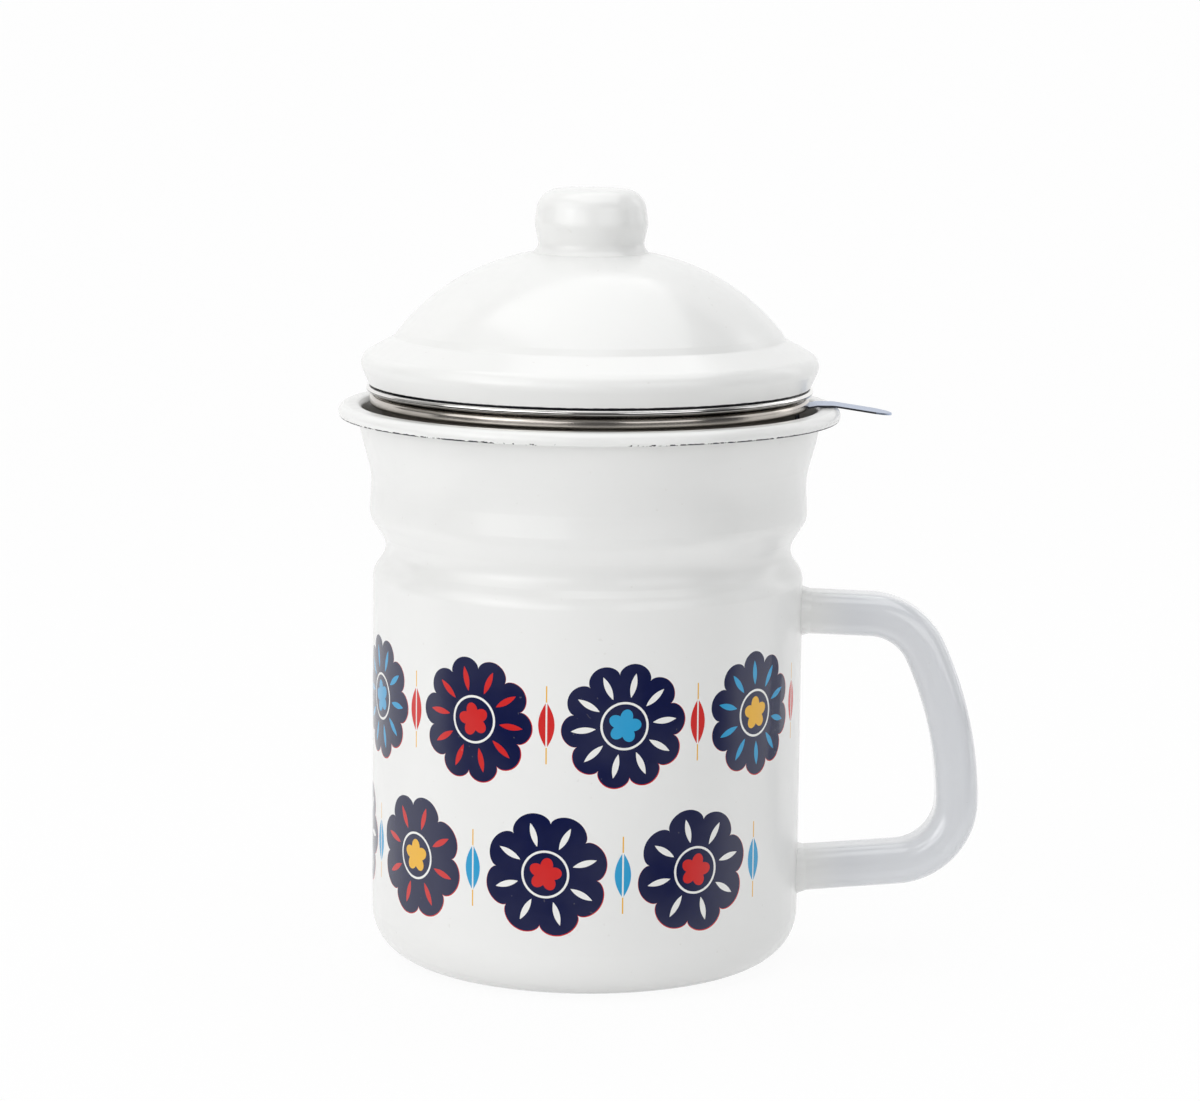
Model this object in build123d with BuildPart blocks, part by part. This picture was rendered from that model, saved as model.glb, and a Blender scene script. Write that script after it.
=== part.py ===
from build123d import *

import os
from math import atan2, cos, sin, tan

# Enamelled steel grease pot: a handled pot, two strainers nested in its mouth and a domed lid.
# Millimetres. The pot's axis is +Z, its foot stands on Z = 0 and the handle points along +X.

# ---- driving dimensions ------------------------------------------------------------------

# pot: pressed steel with enamel on both faces
wall = 1.4                # steel and its two coats
body_r = 53.9             # outside of the straight wall
pot_height = 139.8        # foot to the top of the lip
foot_round = 12.0         # outside round from floor to wall
shoulder_drop = 41.9      # shoulder corner, down from the lip's top
shoulder_round = 5.0
waist_drop = 36.0         # bottom of the rolled-in waist, down from the lip's top
waist_depth = 4.3         # waist corner, in from the straight wall
waist_round = 5.5
belt_drop = 27.8          # corner above the waist, down from the lip's top
belt_step = 0.9           # out from the straight wall
belt_round = 5.0
neck_drop = 17.6
neck_step = 0.3           # out from the straight wall
mouth_drop = 8.3
mouth_flare = 2.85        # out from the straight wall
mouth_round = 20.0        # soft bends at the neck and the mouth
lip_root = 4.2            # wall under the lip, out from the straight wall
lip_reach = 4.6           # lip's outer corner, out from its root
lip_crest_round = 1.65    # top face, inner side of the lip
lip_outer_round = 1.9     # top face, outer side of the lip
lip_fall = 2.8            # underside of the lip at its raw edge, down from the lip's top
lip_tuck = 0.4            # raw edge, in from the lip's outer corner
lip_edge_round = 0.4

# handle: bent oval tube
handle_depth = 10.6       # section in the plane of the handle
handle_width = 14.0       # section across it
handle_corner = 4.4
handle_wall = 1.2
handle_span = 66.8        # between the roots of its arms
handle_drop = 0.1         # its middle below the middle of the straight wall
handle_fall = 1.15        # upper arm falls this much to its bend
handle_rise = 3.5         # lower arm rises this much to its bend
handle_top_reach = 26.4   # corner of the upper bend, out from the wall
handle_low_reach = 38.9   # corner of the lower bend, out from the wall
handle_bow = 5.6          # grip's arc past the line between those corners
handle_top_bend = 15.9
handle_low_bend = 16.2
weld_flare = 1.0          # enamelled weld bead round each end
vent_r = 1.5              # hole that lets the tube breathe in the kiln
vent_out = 9.0            # from the wall to the hole

# fits between the pieces that lift out
seat_gap = 0.3            # resting pieces, with the enamel between them
nest_gap = 0.7            # sliding cups, each side

# lower strainer: woven cup in a rolled band, with a tongue to lift it by
band_sheet = 0.5
mesh_thickness = 0.7
strainer_gap = 1.6        # band to the pot's neck
mesh_corner = 9.0         # outside round of the cup's floor, which sits on the waist
rim_stand = 2.6           # band's top above the pot's lip
roll_width = 3.55
roll_height = 2.1
roll_round = 1.05
band_depth = 8.0
clamp_depth = 7.4
tab_width = 10.0
tab_sheet = 0.45
tab_reach = 21.5          # tongue's tip, out from the pot's straight wall
tab_leg = 3.2             # welded leg on the band
tab_bend = 0.9
tab_fall = 2.2            # tip below the flat over the lip
tab_lip_gap = 0.2         # tongue over the enamel lip

# upper strainer: pressed cup with a punched floor
cup_sheet = 0.6
cup_depth = 24.0
cup_corner = 6.0
cup_root_round = 1.6
flange_overhang = 0.9     # flange past the band of the lower strainer
flange_rise = 1.4         # flange's edge above its root
hem_r = 0.75              # rolled edge of the flange
hole_r = 1.6
hole_pitch = 9.4
hole_rings = 4

# lid: pressed and enamelled, with a hollow bead and a skirt that drops into the cup
lid_inset = 0.85          # lid's lower edge, in from the flange's edge
skirt_depth = 6.0
skirt_round = 0.8
lid_edge_round = 1.2
bead_overhang = 3.1       # bead's corner past the lower edge
bead_height = 7.05        # all lid heights are from the lid's flat underside
bead_round = 3.3
valley_inset = 6.1        # foot of the dome, in from the lower edge
valley_height = 12.05
valley_round = 1.0
dome_inset = 7.2          # where the dome's arc starts, in from the lower edge
dome_height = 13.75
haunch_inset = 18.4       # point half way up the arc
haunch_height = 24.25
crown_r = 5.7
crown_height = 33.85
lid_vent_r = 3.0          # opening from the lid into the hollow knob

# knob: hollow pressed cap, welded on the dome
knob_wall = 1.3
knob_foot_r = 16.2
knob_neck_r = 12.95
knob_waist_r = 14.15
knob_top_r = 12.9
knob_dish_r = 4.5
knob_height = 15.1        # above the dome's crown
knob_neck_height = 0.9
knob_waist_height = 6.6
knob_dish = 0.35
knob_foot_round = 2.5
knob_waist_round = 6.0
knob_top_round = 5.6

# ---- places worked out from the dimensions -----------------------------------------------

shoulder_z = pot_height - shoulder_drop
waist_z = pot_height - waist_drop
belt_z = pot_height - belt_drop
neck_z = pot_height - neck_drop
mouth_z = pot_height - mouth_drop
waist_r = body_r - waist_depth
belt_r = body_r + belt_step
neck_r = body_r + neck_step
lip_root_r = body_r + lip_root
lip_r = lip_root_r + lip_reach

# the band stands clear of the neck; the mesh cup's floor corner sits on the waist's upper flank
cup_r = neck_r - wall - strainer_gap
flank = atan2(belt_r - waist_r, belt_z - waist_z)
flank_r = waist_r - wall * cos(flank)
flank_z = waist_z + wall * sin(flank)
corner_centre_r = cup_r - mesh_corner
corner_centre_z = flank_z + (mesh_corner + seat_gap + cos(flank) * (corner_centre_r - flank_r)) / sin(flank)
mesh_floor_z = corner_centre_z - mesh_corner
band_top_z = pot_height + rim_stand
roll_r = cup_r + roll_width
clamp_r = cup_r - mesh_thickness - band_sheet
band_r = cup_r + band_sheet

# the upper cup hangs by its flange on the clamp ring's top
punched_r = clamp_r - nest_gap - cup_sheet
flange_r = roll_r + flange_overhang
flange_slope = atan2(flange_rise, flange_r - punched_r)
flange_root_z = band_top_z + seat_gap + cup_sheet / cos(flange_slope) - (clamp_r - punched_r) * tan(flange_slope)
flange_top_z = flange_root_z + flange_rise
cup_floor_z = flange_root_z - cup_depth

# the lid's flat underside rests on the flange, and its skirt drops inside the cup
lid_edge_r = flange_r - lid_inset
lid_flat_r = lid_edge_r - lid_edge_round
lid_z = flange_root_z + (lid_flat_r - punched_r) * tan(flange_slope) + seat_gap
skirt_r = punched_r - nest_gap
crown_z = lid_z + crown_height


# ---- pot ---------------------------------------------------------------------------------

# pressed pot: floor, wall, waist, flared mouth and lip are one sheet
with BuildPart() as pot_body:
    with BuildSketch(Plane.XZ) as pot_section:
        with BuildLine() as pot_line:
            FilletPolyline(
                (0, 0),
                (body_r, 0),
                (body_r, shoulder_z),
                (waist_r, waist_z),
                (belt_r, belt_z),
                (neck_r, neck_z),
                (body_r + mouth_flare, mouth_z),
                (lip_root_r, pot_height - wall),
                (lip_r - wall, pot_height - wall),
                (lip_r - wall - lip_tuck, pot_height - lip_fall),
                radius=[
                    foot_round,
                    shoulder_round,
                    waist_round,
                    belt_round,
                    mouth_round,
                    mouth_round,
                    lip_crest_round - wall,
                    lip_outer_round - wall,
                ],
            )
            offset(amount=wall, side=Side.LEFT)
        make_face()
        raw_edge = pot_section.vertices().filter_by(lambda v: v.X > lip_root_r + wall).sort_by(Axis.Y)[:2]
        fillet(raw_edge, lip_edge_round)
    revolve(axis=Axis.Z)
pot_body.part.label = "pot_body"

# solid plug of the pot's outside, used to trim what is welded to the wall
with BuildPart() as pot_plug:
    with BuildSketch(Plane.XZ):
        with BuildLine():
            FilletPolyline(
                (0, 0),
                (body_r, 0),
                (body_r, shoulder_z),
                (waist_r, waist_z),
                (belt_r, belt_z),
                radius=[foot_round, shoulder_round, waist_round],
            )
            Polyline((belt_r, belt_z), (0, belt_z), (0, 0))
        make_face()
    revolve(axis=Axis.Z)

# bent oval tube, trimmed to the wall at both ends
handle_mid_z = (foot_round + shoulder_z) / 2 - handle_drop
handle_top_z = handle_mid_z + handle_span / 2
handle_low_z = handle_mid_z - handle_span / 2
arm_start_x = body_r - handle_depth / 2
top_corner = (body_r + handle_top_reach, handle_top_z - handle_fall)
low_corner = (body_r + handle_low_reach, handle_low_z + handle_rise)
with BuildPart() as handle:
    with BuildLine(Plane.XZ) as handle_path:
        Line((arm_start_x, handle_top_z), top_corner)
        SagittaArc(top_corner, low_corner, handle_bow)
        Line(low_corner, (arm_start_x, handle_low_z))
        corners = handle_path.vertices().filter_by(lambda v: v.X > body_r).sort_by(Axis.X)
        fillet(corners[0], handle_top_bend)
        corners = handle_path.vertices().sort_by_distance((low_corner[0], 0, low_corner[1]))
        fillet(corners[0], handle_low_bend)
    root_plane = Plane(handle_path.line @ 0, x_dir=(0, 1, 0), z_dir=handle_path.line % 0)
    with BuildSketch(root_plane):
        RectangleRounded(handle_width, handle_depth, handle_corner)
    sweep(path=handle_path.line)
    # weld bead: each arm swells where it meets the wall
    for end, out in ((0, 1), (1, -1)):
        place = handle_path.line @ end
        heading = (handle_path.line % end) * out
        bead_start = Plane(place, x_dir=(0, 1, 0), z_dir=heading)
        swell = 2 * weld_flare
        with BuildSketch(bead_start):
            RectangleRounded(handle_width + 2 * swell, handle_depth + 2 * swell, handle_corner + swell)
        with BuildSketch(bead_start.offset(handle_depth / 2 + swell)):
            RectangleRounded(handle_width, handle_depth, handle_corner)
        loft()
    with BuildSketch(root_plane):
        RectangleRounded(
            handle_width - 2 * handle_wall,
            handle_depth - 2 * handle_wall,
            handle_corner - handle_wall,
        )
    sweep(path=handle_path.line, mode=Mode.SUBTRACT)
    add(pot_plug.part, mode=Mode.SUBTRACT)
    # kiln vent on the underside of the lower arm
    with Locations((body_r + vent_out, 0, handle_low_z - handle_depth / 2)):
        Cylinder(vent_r, handle_depth, mode=Mode.SUBTRACT)
handle.part.label = "handle"

# ---- lower strainer ----------------------------------------------------------------------

# rolled band: a leg down the outside of the mesh and a hollow roll at the top
with BuildPart() as mesh_rim:
    with BuildSketch(Plane.XZ):
        with BuildLine():
            FilletPolyline(
                (cup_r, band_top_z - band_depth),
                (cup_r, band_top_z),
                (roll_r, band_top_z),
                (roll_r, band_top_z - roll_height),
                (band_r + band_sheet, band_top_z - roll_height),
                radius=[band_sheet * 2, roll_round, roll_round * 0.8],
            )
            offset(amount=band_sheet, side=Side.RIGHT)
        make_face()
    revolve(axis=Axis.Z)
mesh_rim.part.label = "mesh_rim"

# woven cup: one even skin of crossed wires, flat floor and round corner
with BuildPart() as mesh_bowl:
    with BuildSketch(Plane.XZ):
        with BuildLine():
            FilletPolyline(
                (0, mesh_floor_z),
                (cup_r, mesh_floor_z),
                (cup_r, band_top_z - 2 * band_sheet),
                radius=mesh_corner,
            )
            offset(amount=mesh_thickness, side=Side.LEFT)
        make_face()
    revolve(axis=Axis.Z)
mesh_bowl.part.label = "mesh_bowl"

# inner band, turned out over the mesh's cut edge
with BuildPart() as mesh_clamp_ring:
    with BuildSketch(Plane.XZ):
        with BuildLine():
            Polyline(
                (clamp_r, band_top_z - clamp_depth),
                (clamp_r, band_top_z),
                (cup_r, band_top_z),
            )
            offset(amount=band_sheet, side=Side.RIGHT)
        make_face()
    revolve(axis=Axis.Z)
mesh_clamp_ring.part.label = "mesh_clamp_ring"

# lifting tongue: welded leg, bend under the roll, flat over the lip and a gentle fall to the tip
tab_root_z = band_top_z - roll_height - tab_sheet
tab_flat_z = pot_height + tab_lip_gap
tab_tip_x = body_r + tab_reach
with BuildPart() as strainer_tab:
    with BuildSketch(Plane.XZ):
        with BuildLine():
            FilletPolyline(
                (band_r + tab_sheet, tab_root_z - tab_leg),
                (band_r + tab_sheet, tab_root_z - tab_sheet / 2),
                (roll_r, tab_root_z - tab_sheet / 2),
                (lip_root_r - wall, tab_flat_z),
                (lip_r - lip_outer_round, tab_flat_z),
                (tab_tip_x, tab_flat_z - tab_fall),
                radius=[tab_bend - tab_sheet, tab_bend, tab_bend, tab_bend * 10],
            )
            offset(amount=tab_sheet, side=Side.LEFT)
        make_face()
    extrude(amount=tab_width, both=True)
    # plan shape: parallel sides and a half-round tip
    with BuildSketch(Plane.XY.offset(tab_root_z - 2 * tab_leg)):
        with Locations((tab_tip_x - tab_width / 2, 0)):
            Circle(tab_width / 2)
        with Locations((tab_tip_x - tab_width / 2, 0)):
            Rectangle(tab_tip_x, tab_width, align=(Align.MAX, Align.CENTER))
    extrude(amount=4 * tab_leg + tab_fall, mode=Mode.INTERSECT)
strainer_tab.part.label = "strainer_tab"

# ---- upper strainer ----------------------------------------------------------------------

# pressed cup with a rolled flange; the punched holes lie on rings about the axis
with BuildPart() as punched_cup:
    with BuildSketch(Plane.XZ):
        with BuildLine():
            FilletPolyline(
                (0, cup_floor_z + cup_sheet),
                (punched_r, cup_floor_z + cup_sheet),
                (punched_r, flange_root_z),
                (flange_r - hem_r, flange_top_z - hem_r * tan(flange_slope)),
                radius=[cup_corner - cup_sheet, cup_root_round],
            )
            offset(amount=cup_sheet, side=Side.RIGHT)
        make_face()
        with Locations((flange_r - hem_r, flange_top_z - hem_r)):
            Circle(hem_r)
    revolve(axis=Axis.Z)
    with BuildSketch(Plane.XY.offset(cup_floor_z)):
        Circle(hole_r)
        for ring in range(1, hole_rings + 1):
            with PolarLocations(ring * hole_pitch, 6 * ring):
                Circle(hole_r)
    extrude(amount=cup_sheet, mode=Mode.SUBTRACT)
punched_cup.part.label = "punched_cup"

# ---- lid ---------------------------------------------------------------------------------

# one pressed sheet: skirt, flat underside, hollow bead, valley and dome
with BuildPart() as lid_shell:
    with BuildSketch(Plane.XZ):
        with BuildLine():
            lid_edge = FilletPolyline(
                (skirt_r, lid_z - skirt_depth),
                (skirt_r, lid_z),
                (lid_edge_r, lid_z),
                (lid_edge_r + bead_overhang, lid_z + bead_height),
                (lid_edge_r - valley_inset, lid_z + valley_height),
                (lid_edge_r - dome_inset, lid_z + dome_height),
                radius=[skirt_round, lid_edge_round, bead_round, valley_round],
            )
            dome = ThreePointArc(
                lid_edge @ 1,
                (lid_edge_r - haunch_inset, lid_z + haunch_height),
                (crown_r, crown_z),
            )
            Line(dome @ 1, (0, crown_z))
            offset(amount=wall, side=Side.LEFT)
        make_face()
    revolve(axis=Axis.Z)
    with Locations((0, 0, crown_z)):
        Hole(lid_vent_r)
lid_shell.part.label = "lid_shell"

# solid under the dome's outside, which the knob's foot is trimmed to
with BuildPart() as dome_plug:
    with BuildSketch(Plane.XZ):
        with BuildLine():
            under_dome = ThreePointArc(
                (lid_edge_r - dome_inset, lid_z + dome_height),
                (lid_edge_r - haunch_inset, lid_z + haunch_height),
                (crown_r, crown_z),
            )
            Polyline(
                (crown_r, crown_z),
                (0, crown_z),
                (0, lid_z + dome_height),
                (lid_edge_r - dome_inset, lid_z + dome_height),
            )
        make_face()
    revolve(axis=Axis.Z)

# hollow knob: flared foot, slight waist, soft shoulder and a shallow dish on top
knob_top_z = crown_z + knob_height
with BuildPart() as lid_knob:
    with BuildSketch(Plane.XZ):
        with BuildLine():
            FilletPolyline(
                (knob_foot_r, crown_z - knob_foot_round),
                (knob_neck_r, crown_z + knob_neck_height),
                (knob_waist_r, crown_z + knob_waist_height),
                (knob_top_r, knob_top_z),
                (knob_dish_r, knob_top_z),
                (0, knob_top_z - knob_dish),
                radius=[knob_foot_round, knob_waist_round, knob_top_round, knob_foot_round],
            )
            offset(amount=knob_wall, side=Side.LEFT)
        make_face()
    revolve(axis=Axis.Z)
    add(dome_plug.part, mode=Mode.SUBTRACT)
lid_knob.part.label = "lid_knob"

# ---- files -------------------------------------------------------------------------------

os.makedirs("parts", exist_ok=True)
export_step(pot_body.part, "parts/pot_body.step")
export_step(handle.part, "parts/handle.step")
export_step(mesh_rim.part, "parts/mesh_rim.step")
export_step(mesh_bowl.part, "parts/mesh_bowl.step")
export_step(mesh_clamp_ring.part, "parts/mesh_clamp_ring.step")
export_step(strainer_tab.part, "parts/strainer_tab.step")
export_step(punched_cup.part, "parts/punched_cup.step")
export_step(lid_shell.part, "parts/lid_shell.step")
export_step(lid_knob.part, "parts/lid_knob.step")
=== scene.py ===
import bpy
from math import cos, pi, radians, sin
from mathutils import Matrix, Vector


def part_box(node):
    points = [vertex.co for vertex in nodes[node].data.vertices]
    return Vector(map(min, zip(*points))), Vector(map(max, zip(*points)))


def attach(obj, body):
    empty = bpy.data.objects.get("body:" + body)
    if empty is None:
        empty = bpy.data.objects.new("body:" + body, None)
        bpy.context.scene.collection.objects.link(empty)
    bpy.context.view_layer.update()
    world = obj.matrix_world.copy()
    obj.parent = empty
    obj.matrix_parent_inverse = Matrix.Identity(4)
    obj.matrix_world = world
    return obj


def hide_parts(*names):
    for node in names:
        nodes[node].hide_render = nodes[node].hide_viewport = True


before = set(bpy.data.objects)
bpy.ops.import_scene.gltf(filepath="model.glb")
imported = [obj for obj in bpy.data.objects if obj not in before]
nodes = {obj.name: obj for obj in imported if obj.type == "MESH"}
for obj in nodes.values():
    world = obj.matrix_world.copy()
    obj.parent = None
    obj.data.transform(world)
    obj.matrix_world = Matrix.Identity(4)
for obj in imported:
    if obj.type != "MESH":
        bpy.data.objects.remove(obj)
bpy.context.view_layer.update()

# ---- pot body -----------------------------------------------------------------------------
# Pressed steel pot, dipped in white vitreous enamel and fired. A flower transfer is fired on
# round the lower wall. The enamel pulls back from the lip's raw edge, where the dark ground
# coat shows in dashes, and thins to teal at the foot.

ENAMEL_WHITE = (0.862, 0.864, 0.854, 1)
CLOUD_CREAM = (0.80, 0.78, 0.73, 1)
PINHOLE_BROWN = (0.45, 0.42, 0.36, 1)
# near-black: the ground coat at the lip's raw edge and the vent, and painted shade at the lid's
# edge
GROUND_COAT_AND_SHADE = (0.004, 0.005, 0.012, 1)
FOOT_TEAL = (0.02, 0.24, 0.31, 1)
# brown painted shade inside the pot's mouth
MOUTH_SHADE = (0.10, 0.075, 0.055, 1)
INK_NAVY = (0.002, 0.0055, 0.052, 1)
INK_RED = (0.62, 0.018, 0.018, 1)
INK_YELLOW = (0.85, 0.46, 0.03, 1)
INK_SKY = (0.02, 0.33, 0.62, 1)
INK_WHITE = (0.86, 0.86, 0.84, 1)

# sizes in the materials are millimetres, and noise scales are waves per millimetre
WALL_RADIUS = 53.9
WALL_SKIN = 0.5           # the print lies on what is further out than the wall less this
ENAMEL_IOR = 1.52
ENAMEL_RELIEF = 0.00007   # metres, as all bump depths are
CLEAR_COAT = 0.12
CLEAR_COAT_ROUGHNESS = 0.10
GLOSSIEST, DULLEST = 0.205, 0.262
CLOUD_SCALE, SMEAR_SCALE, WAVE_SCALE, PEEL_SCALE, PINHOLE_SCALE = 0.045, 0.11, 0.16, 0.7, 0.9
CLOUD_SHARE, PINHOLE_SHARE = 0.022, 0.10
WAVE_HEIGHT, PEEL_HEIGHT, PINHOLE_DEPTH = 0.9, 0.06, 0.3     # shares of the relief


def feed(tree, socket, term):
    """Link another node's output to the socket, or set a plain value on it."""
    if isinstance(term, bpy.types.NodeSocket):
        tree.links.new(term, socket)
    else:
        socket.default_value = term


def math_of(tree, operation, *terms):
    """One math node; each term is a number or another node's output."""
    node = tree.nodes.new("ShaderNodeMath")
    node.operation = operation
    for socket, term in zip(node.inputs, terms):
        feed(tree, socket, term)
    return node.outputs[0]


def product_of(tree, first, *others):
    """All terms multiplied; of masks, the place where all of them are 1."""
    for term in others:
        first = math_of(tree, "MULTIPLY", first, term)
    return first


def above_and_below(tree, value, low, high):
    """1 where the value lies between low and high."""
    return product_of(
        tree, math_of(tree, "GREATER_THAN", value, low), math_of(tree, "LESS_THAN", value, high)
    )


def distance_of(tree, x, y):
    """Distance of (x, y) from the centre, such as of a point from the pot's axis."""
    squares = math_of(tree, "ADD", product_of(tree, x, x), product_of(tree, y, y))
    return math_of(tree, "SQRT", squares)


def blend_of(tree, share, under, over):
    """Colour under, covered by colour over where share is 1."""
    node = tree.nodes.new("ShaderNodeMix")
    node.data_type = "RGBA"
    for place, term in ((0, share), (6, under), (7, over)):
        feed(tree, node.inputs[place], term)
    return node.outputs[2]


def ramp_of(tree, value, low, high, to_low=0.0, to_high=1.0):
    """Value eased from to_low to to_high between low and high."""
    node = tree.nodes.new("ShaderNodeMapRange")
    node.interpolation_type = "SMOOTHSTEP"
    for socket, term in zip(node.inputs, (value, low, high, to_low, to_high)):
        feed(tree, socket, term)
    return node.outputs[0]


def noise_of(tree, vector, scale, detail=2.0, roughness=0.5):
    node = tree.nodes.new("ShaderNodeTexNoise")
    for label, term in (
        ("Vector", vector), ("Scale", scale), ("Detail", detail), ("Roughness", roughness)
    ):
        feed(tree, node.inputs[label], term)
    return node.outputs["Fac"]


def place_in_mm(tree):
    """The point on the piece in millimetres, as a vector and as its X, Y and Z."""
    place = tree.nodes.new("ShaderNodeTexCoord")
    scaled = tree.nodes.new("ShaderNodeVectorMath")
    scaled.operation = "SCALE"
    scaled.inputs["Scale"].default_value = 1000.0
    tree.links.new(place.outputs["Object"], scaled.inputs[0])
    split = tree.nodes.new("ShaderNodeSeparateXYZ")
    tree.links.new(scaled.outputs[0], split.inputs[0])
    return scaled.outputs[0], *split.outputs


def group_of(name, takes, gives):
    """An empty shader group: takes is (name, kind, value) and gives (name, kind)."""
    group = bpy.data.node_groups.new(name, "ShaderNodeTree")
    for label, kind, value in takes:
        socket = group.interface.new_socket(label, in_out="INPUT", socket_type=kind)
        if value is not None:
            socket.default_value = value
    for label, kind in gives:
        group.interface.new_socket(label, in_out="OUTPUT", socket_type=kind)
    return group, group.nodes.new("NodeGroupInput"), group.nodes.new("NodeGroupOutput")


def use_group(tree, group, **values):
    """The group placed in a tree, with numbers, colours or outputs on its named inputs."""
    node = tree.nodes.new("ShaderNodeGroup")
    node.node_tree = group
    for label, term in values.items():
        feed(tree, node.inputs[label.replace("_", " ")], term)
    return node


def bump_to(tree, shader, height, depth):
    """Relief of the given depth in metres."""
    bump = tree.nodes.new("ShaderNodeBump")
    bump.inputs["Strength"].default_value = 1.0
    bump.inputs["Distance"].default_value = depth
    tree.links.new(height, bump.inputs["Height"])
    tree.links.new(bump.outputs[0], shader.inputs["Normal"])


# fired enamel: faint clouding, pinholes and the soft waviness of a dipped coat
enamel_coat, coat_in, coat_out = group_of(
    "fired enamel",
    [
        ("Place", "NodeSocketVector", None),
        ("Colour", "NodeSocketColor", ENAMEL_WHITE),
        ("Gloss Loss", "NodeSocketFloat", 0.0),
    ],
    [
        ("Colour", "NodeSocketColor"),
        ("Roughness", "NodeSocketFloat"),
        ("Height", "NodeSocketFloat"),
    ],
)
e = enamel_coat
on_coat = coat_in.outputs["Place"]
cloud = noise_of(e, on_coat, CLOUD_SCALE, 3.0)
pinhole = ramp_of(e, noise_of(e, on_coat, PINHOLE_SCALE, 0.0), 0.84, 0.88)
clouded = blend_of(
    e, ramp_of(e, cloud, 0.3, 0.7, 0.0, CLOUD_SHARE), coat_in.outputs["Colour"], CLOUD_CREAM
)
pinholed = blend_of(e, product_of(e, pinhole, PINHOLE_SHARE), clouded, PINHOLE_BROWN)
e.links.new(pinholed, coat_out.inputs["Colour"])
smear = noise_of(e, on_coat, SMEAR_SCALE, 2.0)
base_gloss = ramp_of(e, smear, 0.25, 0.75, GLOSSIEST, DULLEST)
e.links.new(
    math_of(e, "ADD", base_gloss, coat_in.outputs["Gloss Loss"]), coat_out.inputs["Roughness"]
)
wave = product_of(e, noise_of(e, on_coat, WAVE_SCALE, 1.0), WAVE_HEIGHT)
waviness = math_of(e, "MULTIPLY_ADD", noise_of(e, on_coat, PEEL_SCALE, 1.0), PEEL_HEIGHT, wave)
e.links.new(
    math_of(e, "SUBTRACT", waviness, product_of(e, pinhole, PINHOLE_DEPTH)),
    coat_out.inputs["Height"],
)

# flower transfer: rings of round flowers, each row moved half a step, with a leaf between two
FLOWERS_ROUND = 9
FLOWER_RADIUS = 15.3
FIRST_ROW_UP = 32.0
ROW_PITCH = 36.5
BARE_BY_HANDLE = 0.6      # radians each side of the handle with no flower centre
BARE_OF_LEAVES = 0.30     # radians each side of the handle with no leaf
FLOWER_DRAW = 3.0         # seed of each flower's colours and tilt
TILT = 0.7                # radians, the most that a flower is turned
FEWEST_PETALS, MORE_PETALS = 8.0, 2.0
PETAL_CLEFT = 0.19        # how deep the petals are parted, of the flower's radius
PETAL_FULLNESS = 0.55
SEED_AT, SEED_LONG, SEED_WIDE = 10.0, 3.0, 0.75
RING_AT, RING_HALF = 5.6, 0.28
HEART_RADIUS, HEART_LOBE, HEART_LOBES = 2.6, 1.5, 5
LEAF_LONG, LEAF_WIDE, VEIN_HALF = 5.6, 2.0, 0.2
STALK_LONG, STALK_HALF = 9.5, 0.17
PLATE_SLIP, SLIP_SWING, SLIP_TURN = 0.10, 0.16, 0.7
step_width = 2 * pi * WALL_RADIUS / FLOWERS_ROUND

transfer, transfer_in, transfer_out = group_of(
    "flower transfer",
    [
        ("Turn", "NodeSocketFloat", 0.0),
        ("Up", "NodeSocketFloat", 0.0),
        ("Ground", "NodeSocketColor", ENAMEL_WHITE),
        ("Flower Radius", "NodeSocketFloat", FLOWER_RADIUS),
    ],
    [("Colour", "NodeSocketColor"), ("Ink", "NodeSocketFloat")],
)
t = transfer
turn, up = transfer_in.outputs["Turn"], transfer_in.outputs["Up"]
flower_radius = transfer_in.outputs["Flower Radius"]
rows_up = math_of(t, "SUBTRACT", up, FIRST_ROW_UP - ROW_PITCH / 2)
row = math_of(t, "FLOOR", math_of(t, "DIVIDE", rows_up, ROW_PITCH))
odd_row = math_of(t, "FLOORED_MODULO", row, 2.0)
half_step = product_of(t, odd_row, 0.5)
steps = math_of(
    t, "SUBTRACT", math_of(t, "MULTIPLY_ADD", turn, FLOWERS_ROUND / (2 * pi), 0.5), half_step
)
column = math_of(t, "FLOOR", math_of(t, "ADD", steps, 0.5))
across = product_of(t, math_of(t, "SUBTRACT", steps, column), step_width)
above = math_of(t, "SUBTRACT", up, math_of(t, "MULTIPLY_ADD", row, ROW_PITCH, FIRST_ROW_UP))

cell = t.nodes.new("ShaderNodeCombineXYZ")
cell_column = math_of(t, "FLOORED_MODULO", column, float(FLOWERS_ROUND))
for socket, term in zip(cell.inputs, (cell_column, row, FLOWER_DRAW)):
    feed(t, socket, term)
chance = t.nodes.new("ShaderNodeTexWhiteNoise")
t.links.new(cell.outputs[0], chance.inputs["Vector"])
pick = t.nodes.new("ShaderNodeSeparateColor")
t.links.new(chance.outputs["Color"], pick.inputs[0])
pick_heart, pick_seed, pick_tilt = pick.outputs

in_rows = above_and_below(t, row, -0.5, 1.5)
centre_steps = math_of(t, "SUBTRACT", math_of(t, "ADD", column, half_step), 0.5)
centre_turn = product_of(t, centre_steps, 2 * pi / FLOWERS_ROUND)
clear_of_handle = math_of(t, "GREATER_THAN", math_of(t, "ABSOLUTE", centre_turn), BARE_BY_HANDLE)
printed = product_of(t, in_rows, clear_of_handle)

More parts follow.
